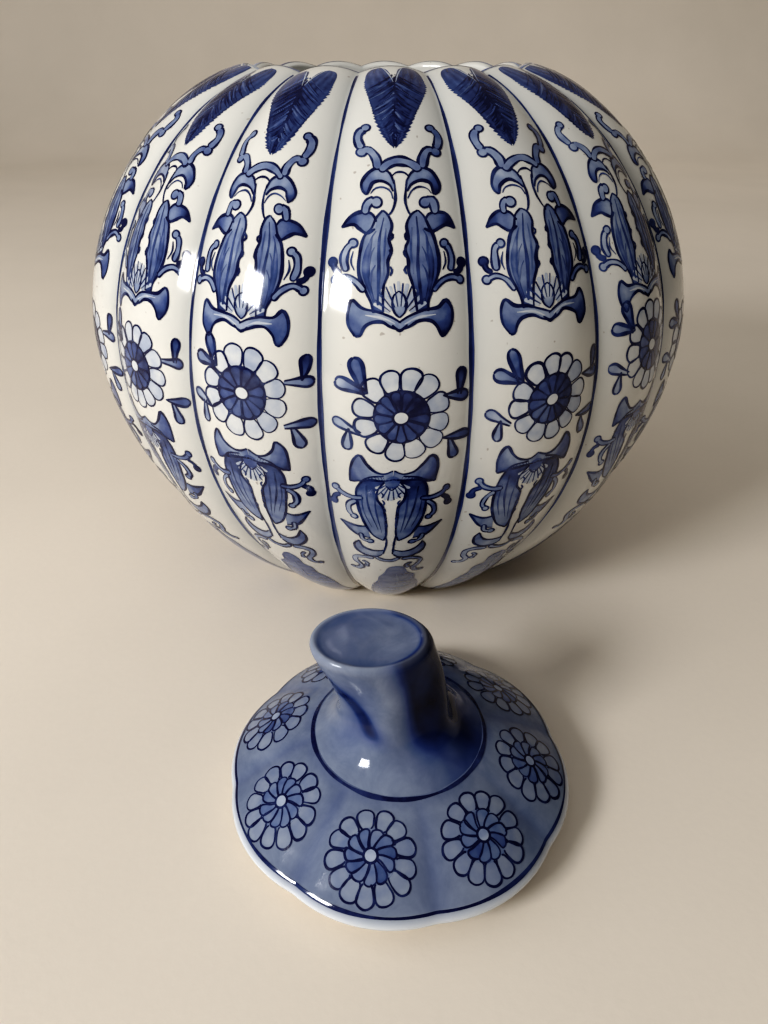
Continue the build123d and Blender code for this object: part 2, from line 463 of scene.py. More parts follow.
def lid_stalk(material):
    """The stalk-shaped handle: flared foot, leaning fluted neck and a flat oval top with a soft lip."""
    columns = 120
    rows = smooth(STEM_ROWS, 0.9)
    rings, pool_and_shade, pale = [], [], []
    angle = circle(columns)

    def add(row, inset=0.0, rise=0.0, thin=0.0, dark=0.0):
        radius, z, lean_share, squash, flute, twist = row
        pull = flute * (0.5 + 0.5 * np.cos(STEM_FLUTES * (angle - twist)))
        reach = radius - pull - inset
        x = STEM_LEAN * lean_share + reach * np.sin(angle)
        rings.append(np.stack([x, -reach * squash * np.cos(angle), np.full(columns, z + rise)], 1))
        # Painted shade darkens the right side, which faces away from the light, and a crease that winds up
        # the left; the flutes get pooled cobalt and painted shade.
        right = np.clip((np.sin(angle) - 0.05) / 0.55, 0, 1) ** 1.5 * np.clip(1 - inset / 3, 0, 1)
        right *= 0.5 + 0.5 * np.clip((z - STEM_BASE_FLARE) / 8, 0, 1)
        crease = np.interp(z, CREASE_HEIGHTS, CREASE_ANGLES) + 2 * math.pi
        along_crease = np.exp(
            -(((angle - crease) / CREASE_WIDTH) ** 2)
        ) * np.clip((STEM_TOP_Z - 2 - z) / 6, 0, 1)
        along_crease *= np.clip((z - CREASE_HEIGHTS[0]) / 5, 0, 1)
        load = 1.2 * right + 0.25 * pull + 0.85 * along_crease + dark * (1 - 0.5 * np.sin(angle))
        pool_and_shade.append(np.clip(load, 0, 1))
        pale.append(np.full(columns, thin))

    for row in rows:
        add(row, thin=np.clip((row[1] - 64) / 2, 0, 1) * 0.1)
    top = rows[-1]
    # The flat top is a shallow dish inside a soft lip where the glaze runs thin.
    dish = (
        (0.5, 0.12, 0.14, 0.0),
        (1.0, 0.05, 0.1, 0.2),
        (1.8, -0.25, 0.0, 0.3),
        (3.0, -0.5, 0.0, 0.3),
        (7.0, -0.6, 0.0, 0.22),
        (12.0, -0.6, 0.0, 0.18),
    )
    for inset, rise, thin, dark in dish:
        add(top, inset, rise, thin, dark)
    points = [(0, 0, SHOULDER_Z - 0.4)] + list(np.vstack(rings)) + [(STEM_LEAN, 0, STEM_TOP_Z - 0.6)]
    values = {"pool_and_shade": np.concatenate([[0]] + pool_and_shade + [[0.18]]), "pale": np.concatenate([[0]] + pale + [[0]])}
    faces = skin_faces(len(rings), columns)
    points = np.array(points) + (0, LID_Y, 0)
    return mesh_object(
        "lid_stalk", points, faces, material, "lid", ("lid_stem",), values=values
    )


# ---- the painting ----
# Heights of the layers above the glaze: the washes and their shading are one piece, the rest another.
WASH = 0.05
SHADE = 0.08
LINE = 0.12
CORE = 0.15
DETAIL = 0.18
OUTLINE = 1.05
THINNEST = 1e-6
LINE_STEP = 0.3
CAP_ANGLES = np.radians((20, 42, 66))     # where a round end gets its own points


class Paint:
    """Quads of paint in a surface's own (u, v), with a tone from 0, palest, to 1, darkest."""

    def __init__(self):
        self.points = []
        self.tones = []
        self.lifts = []
        self.faces = []

    def sheet(self, grid, tones, lift):
        """Adds a grid of points, rows by columns by 2."""
        rows, columns = grid.shape[:2]
        first = len(self.points)
        self.points += list(grid.reshape(-1, 2))
        self.tones += list(np.broadcast_to(tones, (rows, columns)).reshape(-1))
        self.lifts += [lift] * (rows * columns)
        self.faces += grid_faces(first, rows, columns)


class Brush:
    """A hand that paints patches, strokes and dots, a little uneven each time."""

    def __init__(self, seed):
        self.random = random.Random(seed)
        self.wash = Paint()
        self.line = Paint()
        self.place = lambda points: points
        self.load = lambda points: 0.0

    def vary(self, size):
        return self.random.uniform(-size, size)

    def shaky(self, points, size=0.25):
        return [(u + self.vary(size), v + self.vary(size)) for u, v in points]

    def uneven(self, reach, size):
        """Slow waves along a stroke, as a loaded brush leaves them."""
        first, second = self.vary(3), self.vary(3)
        return size * (np.sin(reach / 1.7 + first) + 0.7 * np.sin(reach / 0.8 + second))

    def lay(self, grid, tones, layer):
        paint = self.wash if layer < LINE else self.line
        paint.sheet(grid, np.clip(tones + self.load(grid), 0, 1), layer)

    def patch(self, left, right, tone, edge=0.12, layer=WASH, spacing=1.1):
        """A filled shape between two side lines that run the same way, in one tone or several."""
        a, b = smooth(left, spacing), smooth(right, spacing)
        count = max(len(a), len(b))
        a, b = spread(a, count), spread(b, count)
        columns = max(3, int(np.linalg.norm(a - b, axis=1).max() / 1.5) + 2)
        share = np.linspace(0, 1, columns)[None, :, None]
        grid = self.place(a[:, None] * (1 - share) + b[:, None] * share)
        tones = np.atleast_1d(tone)
        tones = np.interp(np.linspace(0, 1, count), np.linspace(0, 1, len(tones)), tones)
        tones += self.uneven(np.arange(count) * spacing, 0.04)
        self.lay(grid, tones[:, None] + np.abs(share[..., 0] * 2 - 1) ** 3 * edge, layer)

    def stroke(self, points, width, tone=0.98, start=1.0, end=1.0, layer=LINE):
        """A brush line with round ends. start and end are its widths there as shares of the full width."""
        line = smooth(points, LINE_STEP)
        reach = along(line)
        length = reach[-1]

        def on_line(at):
            return np.stack([np.interp(at, reach, line[:, i]) for i in (0, 1)], 1)

        places = np.linspace(0, length, max(4, int(length / 0.75) + 2))
        cap = width / 2 * (1 - np.cos(CAP_ANGLES))
        places = np.clip(np.sort(np.concatenate([places, cap, length - cap])), 0, length)
        way = on_line(places + LINE_STEP) - on_line(places - LINE_STEP)
        way = way / np.maximum(np.linalg.norm(way, axis=1), 1e-9)[:, None]
        half = width / 2 * (1 + self.uneven(places, 0.1) + 0.12 * np.sin(places / 4.3 + self.vary(3)))
        share = places / length
        half *= np.minimum(1, start + (1 - start) * share * 2.2)
        half *= np.minimum(1, end + (1 - end) * (1 - share) * 2.2)
        for distance in (places, length - places):
            half = half * np.sqrt(1 - np.clip(1 - distance / np.maximum(half, THINNEST), 0, 1) ** 2)
        side = np.stack([-way[:, 1], way[:, 0]], 1) * half[:, None]
        across = np.array([-1, -0.35, 0.35, 1])
        grid = self.place(on_line(places)[:, None] + side[:, None] * across[:, None])
        self.lay(grid, tone + self.uneven(places, 0.04)[:, None], layer)

    def disc(self, u, v, radius, tone, tall=1.0, layer=LINE):
        turn = np.linspace(0, math.pi, 11)
        left = [(u - radius * math.sin(t), v - radius * tall * math.cos(t)) for t in turn]
        right = [(u + radius * math.sin(t), v - radius * tall * math.cos(t)) for t in turn]
        self.patch(left, right, tone, 0.0, layer, spacing=0.5)

    def scroll(self, points, width, tone=0.55, rim=0.62, start=1.0, end=1.0, bulb=0.0):
        """A dark band with a paler one down its middle, and a round bulb at its end if one is wanted."""
        self.stroke(points, width, 1.0, start, end)
        core = smooth(points, 0.5)
        trim = max(1, int(rim * 1.6 / 0.5))
        if bulb:
            u, v = points[-1]
            self.disc(u, v, bulb, 1.0)
            self.disc(u, v, bulb - rim, tone, layer=CORE)
        if len(core) > trim + 4:
            self.stroke(
                core[trim:len(core) - (1 if bulb else trim)][::2], width - 2 * rim, tone, start, end, CORE
            )

    def outlined(self, left, right, tone, line=OUTLINE, edge=0.12):
        """A washed shape with dark outlines down both sides; sides that end close together meet."""
        left, right = self.shaky(left, 0.12), self.shaky(right, 0.12)
        for end in (0, -1):
            if math.dist(left[end], right[end]) < 1:
                left[end] = right[end]
        self.patch(left, right, tone, edge)
        for side in (left, right):
            self.stroke(side, line, 1.0, 0.55, 0.6)


def mirrored(points, side):
    return [(u * side, v) for u, v in points]


def feathers(brush, u, v, middle, reach, inner, outer):
    """A fan of pale feathers with dark edges about (u, v); angles are in degrees from straight down."""
    count = 9
    for index in range(2 * count - 1):
        angle = math.radians(middle - reach + reach * index / (count - 1))
        length = outer - 1.6 * abs(index / (count - 1) - 1) + brush.vary(0.4)
        reaches = (inner, (inner + length) / 2, length)
        ends = [(u + r * math.sin(angle), v + r * math.cos(angle)) for r in reaches]
        if index % 2:
            brush.stroke(ends, 0.5, 0.85, 0.5, 0.9)
        else:
            brush.stroke(ends, 1.1, 0.22, 0.5, 1.0, SHADE)


def lappet(brush):
    """A dark hanging leaf at the mouth, toothed, with slanting veins and a notch at its top."""
    outer = (
        (4.2, 0.6), (7.2, 1.4), (9.0, 5), (9.7, 11), (9.3, 16.5), (8.1, 22.5), (6.4, 28.5), (4.4, 34.5),
        (2.5, 38.5), (0.3, 41.6),
    )
    inner = (
        (4.2, 0.6), (2.0, 3.2), (0.7, 9.0), (0.0, 14), (0.0, 20), (0.0, 26), (0.0, 31), (0.0, 35), (0.1, 38),
        (0.2, 41.5),
    )
    for side in (-1, 1):
        edge = spread(smooth(mirrored(outer, side), 0.5), 130)
        reach = along(edge)
        middle = spread(smooth(mirrored(inner, side), 0.5), 130)
        out = edge - middle
        out /= np.maximum(np.linalg.norm(out, axis=1), 1e-6)[:, None]
        saw = 1 - (reach / brush.random.uniform(1.3, 1.6) + 0.3 * np.sin(reach / 2.3)) % 1
        size = 0.65 + 0.4 * np.sin(reach / 4.1 + brush.vary(3))
        tooth = size * saw * np.clip((reach - 10) / 6, 0, 1) * np.clip((reach[-1] - reach) / 3, 0, 1)
        edge = edge + out * tooth[:, None]
        share = np.linspace(0, 1, 11)
        grid = brush.place(middle[:, None] * (1 - share[:, None]) + edge[:, None] * share[:, None])
        top = np.clip(1 - reach / 20, 0, 1)[:, None]
        brushed = 0.05 * np.sin(
            share * 19 + reach[:, None] / 3.5
        ) + 0.04 * np.sin(share * 41 - reach[:, None] / 2.2)
        brush.lay(grid, 0.86 - 0.1 * top + brushed - 0.04 * share * side, WASH)
        for vein in range(30):
            v = 7 + vein * 1.15 + brush.vary(0.5)
            width_here = np.interp(v + 4, [p[1] for p in outer], [p[0] for p in outer])
            start = (side * 0.3, v)
            end = (side * width_here * brush.random.uniform(0.6, 1.0), v + 0.75 * width_here)
            if end[1] < 40:
                bend = ((start[0] + end[0]) / 2, (start[1] + end[1]) / 2 + 0.5)
                tone = brush.random.choice((1.0, 0.97, 0.94, 0.7))
                brush.stroke([start, bend, end], brush.random.uniform(0.4, 0.85), tone, 0.8, 0.25)
        brush.stroke(mirrored(((0.4, 12.5), (1.5, 7.5), (3.2, 2.0)), side), 0.45, 0.2, 0.3, 0.7, CORE)
    brush.stroke(((0.1, 9), (0.0, 24), (0.2, 41)), 1.9, 1.0, 0.3, 0.6)


def upper_motif(brush):
    """Scrolls, caps, bird-headed curls and two long leaves about a white stalk, above a bow."""
    for side in (-1, 1):

        def at(*points):
            return brush.shaky(mirrored(points, side), 0.2)

        leaf_outer = at(
            (5.1, 61.2), (7.2, 63.2), (8.4, 66.4), (10.2, 69.4), (11.6, 75), (11.7, 80), (10.0, 84.6),
            (8.6, 88), (8.2, 90.8),
        )
        leaf_inner = at(
            (5.1, 61.2), (3.4, 62.6), (2.4, 65.6), (2.9, 69.5), (2.2, 72.6), (3.1, 76), (3.0, 79.4),
            (4.6, 84), (5.2, 90.8),
        )
        brush.outlined(leaf_outer, leaf_inner, (0.5, 0.5, 0.5, 0.54, 0.62, 0.84))
        shade_outer = at((7.8, 68), (10.2, 74), (10.6, 80), (8.2, 88))
        shade_inner = at((7.7, 68), (8.2, 74), (8.6, 81), (7.4, 88))
        brush.patch(shade_outer, shade_inner, (0.54, 0.66, 0.72, 0.8), layer=SHADE)
        brush.stroke(at((5.0, 63), (5.9, 70), (5.9, 78), (6.6, 89)), 1.0, 0.82, 0.3, 0.8)
        brush.stroke(at((3.9, 66), (4.0, 73), (4.6, 80)), 0.7, 0.68, 0.5, 0.3)
        for v in (67, 72, 77):
            brush.stroke(at((7.0, v), (8.2, v + 2.6), (8.8, v + 7.5)), 0.6, 0.72, 0.4, 0.2)
            brush.stroke(at((2.6, v + 0.4), (1.9, v + 1.6), (2.6, v + 3.0)), 0.85, 0.95, 0.6, 0.6)
        brush.scroll(at((6.8, 48.6), (7.0, 45.0), (8.8, 42.2), (10.9, 42.4)), 3.0, 0.55, bulb=1.85)
        brush.scroll(at((11.0, 41.6), (12.0, 38.2), (11.6, 35.4), (9.7, 33.7)), 2.9, 0.55, bulb=1.65)
        cap_outer = at(
            (1.9, 53.0), (3.2, 49.8), (6.4, 48.0), (9.4, 49.2), (11.4, 52.6), (11.2, 55.2), (9.9, 56.4)
        )
        cap_inner = at(
            (2.0, 55.4), (3.4, 53.4), (6.1, 52.2), (8.3, 52.9), (9.2, 54.4), (9.5, 55.6), (9.9, 56.4)
        )
        brush.outlined(cap_outer, cap_inner, (0.5, 0.42, 0.46, 0.62, 0.9))
        brush.stroke(
            at((9.0, 56.2), (7.6, 54.6), (5.2, 54.1), (3.2, 55.4), (2.2, 57.6)), 0.6, 0.85, 0.4, 0.6
        )
        brush.stroke(at((1.9, 51.6), (1.5, 55), (1.5, 58.4), (2.6, 61.4), (3.6, 62.8)), 0.85, 0.97, 0.6, 0.6)
        beak_top = at((7.2, 64.4), (8.6, 62.2), (11.6, 61.6), (14.6, 62.8), (17.0, 66.0))
        beak_low = at((7.4, 66.6), (9.6, 67.8), (11.6, 66.6), (13.6, 65.4), (17.0, 66.0))
        brush.outlined(beak_top, beak_low, (0.46, 0.52, 0.66, 0.92, 0.95))
        brush.scroll(at((10.4, 62.4), (10.0, 59.9), (8.9, 58.2), (7.4, 58.9)), 2.7, 0.5, bulb=1.9)
        brush.scroll(at((15.3, 79.4), (15.9, 76), (15.2, 72.6), (13.4, 71.0)), 2.5, 0.5, bulb=1.6)
        brush.stroke(at((12.9, 79.2), (13.9, 76.4), (13.2, 73.4)), 0.6, 0.9, 0.5, 0.5)
        brush.scroll(at((10.0, 85.4), (12.6, 82.3), (15.8, 80.9), (18.8, 81.8)), 2.2, 0.5, bulb=1.6)
        brush.scroll(at((16.6, 79.8), (18.6, 78.8), (19.3, 76.2)), 2.0, 0.93, bulb=1.7)
        bow_top = at(
            (-0.4, 93.6), (2.8, 91.8), (6.8, 90.6), (11.0, 90.1), (13.8, 87.8), (15.4, 90.6), (15.4, 94.8),
            (13.2, 98.2),
        )
        bow_low = at(
            (-0.4, 95.8), (2.8, 94.8), (5.6, 93.4), (8.6, 93.6), (10.8, 95.2), (11.8, 97.6), (12.4, 98.2),
            (13.2, 98.3),
        )
        brush.outlined(bow_top, bow_low, (0.36, 0.4, 0.44, 0.54, 0.72, 0.88))
        brush.stroke(at((1.6, 94.0), (5.4, 92.4), (10.5, 91.9)), 0.7, 0.15, 0.4, 0.3, SHADE)
    arch = brush.shaky(((-6.4, 49.2), (-3.4, 46.8), (0, 45.8), (3.4, 46.8), (6.4, 49.2)), 0.15)
    brush.scroll(arch, 3.1, 0.52)
    brush.stroke(((-2.6, 50.8), (-1.4, 49.7), (0, 49.4), (1.4, 49.7), (2.6, 50.8)), 0.75, 1.0, 0.6, 0.6)
    feathers(brush, 0, 92.5, 180, 62, 3.5, 10.5)
    bud = ((0, 84.6), (-1.7, 86.0), (-2.2, 88.4), (-1.6, 90.8), (0, 92.2))
    brush.outlined(bud, mirrored(bud, -1), (0.2, 0.24, 0.4, 0.6), 0.75)
    brush.stroke(((-2.4, 94.2), (0, 95.9), (2.4, 94.2)), 1.0, 0.98, 0.5, 0.5)


# Along a petal: share of its length, and half its width as a share of its part of the circle.
PLUMP = ((0.0, 0.62), (0.1, 0.9), (0.35, 1.0), (0.7, 0.97), (0.91, 0.64), (1.0, 0.0))
SLIM = ((0.0, 0.8), (0.3, 0.92), (0.6, 1.0), (0.85, 0.94), (0.96, 0.55), (1.0, 0.0))


def petal(brush, rows, turn, inner, outer, half, tone, line, layers=(WASH, LINE), curl=0.0):
    """One petal that points away from (0, 0), leaning round the circle by curl at its tip."""
    sides = []
    for side in (-1, 1):
        points = []
        for share, wide in rows:
            reach = inner + (outer - inner) * share
            angle = turn + side * half * wide + curl * share
            points.append((reach * math.sin(angle), -reach * math.cos(angle)))
        sides.append(brush.shaky(points, 0.08))
    sides[1][-1] = sides[0][-1]
    brush.patch(sides[0], sides[1], tone, 0.05, layers[0])
    loop = sides[0] + sides[1][-2::-1]
    brush.stroke(loop, line * brush.random.uniform(0.85, 1.25), 1.0, 0.9, 0.9, layers[1])


def around(brush, start, count, uneven):
    """Angles of the petals round a flower, each a little out of its even place."""
    for index in range(count):
        yield start + (index + brush.vary(uneven)) * 2 * math.pi / count


def rosette(brush):
    """A round flower: a pale dot, a dark ring of narrow petals and a ring of plump pale ones."""
    start = brush.vary(3)
    inner_count = brush.random.choice((11, 12, 12, 13))
    outer_count = brush.random.choice((12, 12, 13))
    for turn in around(brush, start, outer_count, 0.08):
        half = math.pi / outer_count * brush.random.uniform(0.93, 1.0)
        tone = 0.05 + 0.18 * brush.random.random() ** 2
        petal(brush, PLUMP, turn, 8.8, 15.8 + brush.vary(0.4), half, tone, 0.64 - 0.2 * math.sin(turn - 0.6))
    brush.disc(0, 0, 9.2, 0.97)
    for turn in around(brush, start, inner_count, 0.1):
        shade = 0.78 + brush.vary(0.06) + 0.08 * math.cos(turn - 0.8)
        petal(
            brush, SLIM, turn, 2.6, 8.8 + brush.vary(0.2), math.pi / inner_count * 0.94, shade, 0.45,
            (CORE, DETAIL),
        )
    brush.disc(brush.vary(0.2), brush.vary(0.2), 3.0, 1.0, 0.9, DETAIL)
    brush.disc(brush.vary(0.15), brush.vary(0.15), 2.2, 0.0, 0.85, DETAIL + 0.03)


# Along a bud: share of its length, and half its width as a share of the widest.
BUD = ((0.0, 0.3), (0.4, 0.65), (0.75, 1.0), (0.93, 0.72), (1.0, 0.0))


def bud(brush, base, tip, half, tone, line=1.0):
    """An outlined bud that swells from its base to a round tip."""
    base, ahead = np.array(base), np.subtract(tip, base)
    aside = np.array([ahead[1], -ahead[0]]) / math.hypot(*ahead) * half
    sides = [[tuple(base + ahead * share + aside * wide * side) for share, wide in BUD] for side in (-1, 1)]
    brush.outlined(*sides, tone, line)


# Base, tip, half width and tones of each bud in the corners round the rosette, and its line if it is bold.
SPRIGS = (
    ((-9.6, 115.0), (-13.4, 104.2), 1.9, (0.92, 0.74, 0.66), 1.3),
    ((-9.6, 114.4), (-19.0, 111.6), 1.9, (0.92, 0.6, 0.4), 1.3),
    ((20.0, 116.2), (20.6, 107.6), 1.6, (0.6, 0.72, 0.85)),
    ((14.4, 116.6), (23.4, 116.2), 1.7, (0.4, 0.5, 0.66)),
    ((-11.8, 128.6), (-20.6, 124.4), 1.7, (0.3, 0.42, 0.66)),
    ((-15.8, 127.0), (-16.4, 135.0), 1.5, (0.4, 0.46, 0.4)),
    ((14.0, 131.4), (24.2, 129.8), 1.6, (0.4, 0.6, 0.72)),
    ((16.6, 131.6), (18.8, 139.0), 1.8, (0.42, 0.5, 0.5)),
)


def sprigs(brush):
    """Small buds in the four corners around the rosette."""
    for row in SPRIGS:
        bud(brush, *row)


def lower_motif(brush):
    """The upper motif's smaller, hanging counterpart: a bow, two leaves, hooks, caps and tendrils."""
    for side in (-1, 1):

        def at(*points):
            return brush.shaky(mirrored(points, side), 0.2)

        leaf_outer = at(
            (3.4, 143.6), (8.8, 145.2), (11.6, 150.2), (11.7, 156.5), (10.6, 163), (9.0, 168.5),
            (6.4, 173.4), (3.4, 176.2),
        )
        leaf_inner = at(
            (2.6, 146), (4.6, 149.4), (4.6, 153.8), (2.5, 157.4), (2.0, 163), (1.8, 168.4), (2.0, 173),
            (2.6, 176.2),
        )
        brush.outlined(leaf_outer, leaf_inner, (0.92, 0.82, 0.66, 0.58, 0.52, 0.5, 0.58))
        brush.stroke(at((8.6, 148.5), (7.8, 158), (4.6, 169.5)), 0.7, 0.86, 0.7, 0.2)
        brush.stroke(at((5.8, 151), (5.2, 160), (3.4, 171)), 0.55, 0.8, 0.6, 0.2)
        brush.stroke(at((10.2, 152.5), (9.4, 160.5), (6.8, 168.4)), 0.5, 0.8, 0.6, 0.2)
        for v in (150.5, 154, 157.5, 161.5, 165.5):
            down = v - 150
            notch = at((3.6 - down * 0.12, v), (2.6 - down * 0.07, v + 1.3), (3.3 - down * 0.1, v + 2.8))
            brush.stroke(notch, 0.75, 0.9, 0.6, 0.6)
        bow_top = at(
            (0, 141.2), (3.2, 142.8), (6.6, 142.2), (9.2, 139.8), (11.2, 136.6), (13.4, 138.6),
            (14.2, 142.6), (14.0, 147.4),
        )
        bow_low = at(
            (0, 145.0), (3.6, 145.4), (7.4, 145.8), (10.0, 146.4), (11.6, 147.0), (12.6, 147.4),
            (13.2, 147.5), (14.0, 147.5),
        )
        brush.outlined(bow_top, bow_low, (0.6, 0.46, 0.46, 0.56, 0.74, 0.88))
        brush.scroll(at((9.6, 154.0), (13.2, 154.8), (16.8, 153.8), (18.9, 151.6)), 2.3, 0.6, bulb=1.6)
        brush.scroll(at((17.2, 154.4), (19.4, 156.0), (19.8, 158.2)), 2.2, 0.9, bulb=1.7)
        brush.scroll(at((11.6, 155.6), (14.2, 158.4), (14.6, 162.0), (12.8, 164.2)), 2.3, 0.5, bulb=1.5)
        tail_top = at((8.8, 168.4), (12.6, 169.4), (18.0, 167.6))
        tail_low = at((7.6, 175.4), (12.4, 174.4), (18.0, 167.7))
        brush.outlined(tail_top, tail_low, (0.5, 0.62, 0.85))
        brush.scroll(at((11.0, 173.2), (10.2, 176.8), (7.6, 177.4)), 2.1, 0.5, bulb=1.6)
        brush.stroke(at((2.0, 171), (1.5, 178), (1.8, 186)), 0.85, 0.95, 0.5, 0.7)
        cap_outer = at((11.4, 178.4), (12.8, 182), (11.4, 186.4), (7.6, 188.8), (3.8, 188.0), (1.9, 186.0))
        cap_inner = at((11.4, 178.4), (10.0, 181.8), (8.0, 183.4), (5.6, 184.0), (3.2, 183.4), (1.9, 182.4))
        brush.outlined(cap_outer, cap_inner, (0.75, 0.58, 0.46, 0.44))
        tendril = at(
            (5.2, 190.0), (9.2, 190.4), (12.2, 192.8), (11.6, 196.4), (9.9, 199.2), (10.9, 202.6),
            (13.2, 203.4),
        )
        brush.scroll(tendril, 2.6, 0.5, bulb=1.3)
        brush.scroll(at((9.4, 194.0), (7.6, 195.6), (7.8, 198.2)), 1.9, 0.55, bulb=1.2)
    feathers(brush, 0, 145.6, 0, 60, 2.5, 8.6)
    brush.disc(0, 146.2, 2.6, 0.72)
    brush.stroke(((-2.2, 147.6), (0, 149.4), (2.2, 147.6)), 0.7, 1.0, 0.6, 0.6)
    brush.scroll(brush.shaky(((-4.8, 188.6), (-2.0, 190.8), (2.0, 191.0), (4.8, 188.8))), 2.4, 0.5)


def foot_leaf(brush):
    """A pale leaf that stands on the foot with its tip up."""
    left = (
        (0.0, 195.8), (-2.2, 197.0), (-3.4, 200), (-4.0, 204), (-6.4, 208), (-7.2, 214), (-8.6, 222),
        (-9.2, 236), (-9.0, 256),
    )
    left = brush.shaky(left, 0.5)
    brush.patch(left, mirrored(left, -1), (0.7, 0.66, 0.62, 0.58, 0.58), 0.1)
    for side in (-1, 1):
        brush.stroke(brush.shaky(mirrored(left, side), 0.25), 0.8, 0.7, 0.7, 0.3)
    brush.stroke(brush.shaky(((-1.4, 200.6), (0.2, 202.2), (1.6, 200.4))), 1.0, 0.66, 0.3, 0.5)
    brush.stroke(brush.shaky(((0.2, 204), (0.5, 212), (0.2, 222))), 0.8, 0.56, 0.5, 0.2)


# How far the painter drifted on the five ribs that face the front: right, and down for each group.
DRIFT = {
    -2: (-2.6, 2.6, -2.6),
    -1: (-1.8, 3.4, -3.6),
    0: (0.6, 0.0, 0.0),
    1: (1.6, 0.6, -1.0),
    2: (2.2, 0.8, -8.4),
}


def paint_rib(rib, wash_material, line_material):
    """Everything painted on one rib, as a piece for the washes and a piece for the lines."""
    brush = Brush(700 + rib)
    across, lappet_down, flower_down = DRIFT.get(
        rib, (brush.vary(1.8), brush.vary(2.0), brush.vary(3.5) - 2.0)
    )
    waves = [brush.random.uniform(0, 6.28) for _ in range(4)]
    # The paint gets a little darker towards the right of each rib.
    right_darkening = brush.random.uniform(0.002, 0.009)
    lean = brush.vary(0.016)

    def place(shift_u, shift_v, centre_u=0.0, centre_v=0.0, scale=1.0, skew=0.0):
        def moved(points):
            points = np.array(points, float)
            u = points[..., 0] * scale + centre_u
            v = points[..., 1] * (scale if centre_v else 1.0) + centre_v
            wave_u = 0.35 * np.sin(0.16 * v + waves[0]) + 0.2 * np.sin(0.31 * u + waves[1])
            wave_v = 0.35 * np.sin(0.2 * u + waves[2]) + 0.2 * np.sin(0.12 * v + waves[3])
            u = u + shift_u + wave_u + skew * (v - 120)
            v = v + shift_v + wave_v
            limit = half_width(v) - 0.15
            return np.stack([np.clip(u, -limit, limit), np.clip(v, 0.2, WALL_LENGTH - 0.6)], -1)
        return moved

    def load(grid):
        return right_darkening * grid[..., 0] + 0.03 * np.sin(
            0.35 * grid[..., 0] + 0.22 * grid[..., 1] + waves[0]
        )

    brush.load = load
    brush.place = place(across * 0.6, lappet_down, scale=brush.random.uniform(0.96, 1.02))
    lappet(brush)
    brush.place = place(across * 0.5, lappet_down * 0.9, skew=lean)
    upper_motif(brush)
    brush.place = place(across, flower_down, 1.0, 122.0, brush.random.uniform(0.93, 0.99))
    rosette(brush)
    brush.place = place(across * 0.5, flower_down)
    sprigs(brush)
    brush.place = place(across * 0.7 - 0.6, flower_down * 0.9, skew=lean * 2)
    lower_motif(brush)
    brush.place = place(across * 0.4 + 1.0, flower_down * 0.5)
    foot_leaf(brush)

    def surface(u, v):
        return wall_place(rib, u, v)

    number = rib % RIBS
    hang(brush.wash, surface, f"paint_wash_{number:02d}", wash_material, "jar")
    hang(brush.line, surface, f"paint_line_{number:02d}", line_material, "jar")


def hang(paint, surface, name, material, body):
    """Makes a piece of the paint, just above surface(u, v) and facing the way that it does."""
    uv = np.array(paint.points)
    points, normals = lifted(surface, uv[:, 0], uv[:, 1], np.array(paint.lifts))
    faces = facing_out(points, paint.faces, normals)
    mesh_object(name, points, faces, material, body, normals=normals, values={"tone": paint.tones})


def facing_out(points, faces, normals):
    """The same faces without slivers that have no area, all wound to face the way that the surface does."""
    kept = []
    for face in faces:
        a, b, c, d = (points[i] for i in face)
        area = np.cross(c - a, d - b)
        if np.dot(area, area) > NO_AREA:
            kept.append(face if np.dot(area, normals[face[0]]) > 0 else face[::-1])
    return kept


GROOVE_LIFT = 0.1
GROOVE_SHARES = (-1, -0.5, 0, 0.5, 1)      # places across a groove line, of its half width


def groove_lines(material):
    """A cobalt line down each groove, thin at the mouth and broader over the belly."""
    rows = np.arange(2.5, WALL_LENGTH - 1.5, 1.6)
    points, tones, faces = [], [], []
    for groove in range(RIBS):
        rng = random.Random(40 + groove)
        phases = [rng.uniform(0, 6.28) for _ in range(3)]
        width = 0.32 + 0.45 * np.clip(rows / 70, 0, 1) + 0.12 * np.sin(rows / 9 + phases[0])
        width = width + 0.07 * np.sin(rows / 3.1 + phases[1])
        drift = 0.25 * np.sin(rows / 23 + phases[2])
        limit = half_width(rows)
        first = len(points)
        for share in GROOVE_SHARES:
            offset = drift + width * share
            if share == 0:
                offset = np.zeros(len(rows))
            left = wall_place(groove, limit + np.minimum(offset, 0), rows)
            right = wall_place(groove + 1, np.maximum(offset, 0) - limit, rows)
            place = np.where((offset > 0)[:, None], right, left)
            outward = place * (1, 1, 0)
            outward /= np.linalg.norm(outward, axis=1)[:, None]
            points += list(place + outward * GROOVE_LIFT)
            tones += list(0.95 - 0.12 * share**2 - 0.35 * np.clip((rows - 150) / 90, 0, 1))
        faces += grid_faces(first, len(GROOVE_SHARES), len(rows))
    return mesh_object(
        "paint_groove_lines", points, faces, material, "jar", values={"tone": tones}
    )


def rim_line(material):
    """A thin broken blue line round the scalloped lip."""
    columns = len(RIB_TURNS)
    angle = circle(columns)
    points, tones = [], []
    for s in (-2.0, -1.5, -1.0, -0.5):
        radius, z = rib_section(np.full(columns, s), RIB_TURNS)
        points += list(ring(radius, z + LINE, columns))
        tones += list(0.55 + 0.3 * np.sin(angle * 5 + 1) * np.cos(angle * 3))
    faces = ring_faces(0, 4, columns)
    return mesh_object(
        "paint_rim_line", points, faces, material, "jar", values={"tone": tones}
    )


# ---- the lid's painting ----
LID_FLOWER_REACH = 42.5
LID_FLOWER_SIZE = 0.86
LID_SLOPE = math.radians(31)


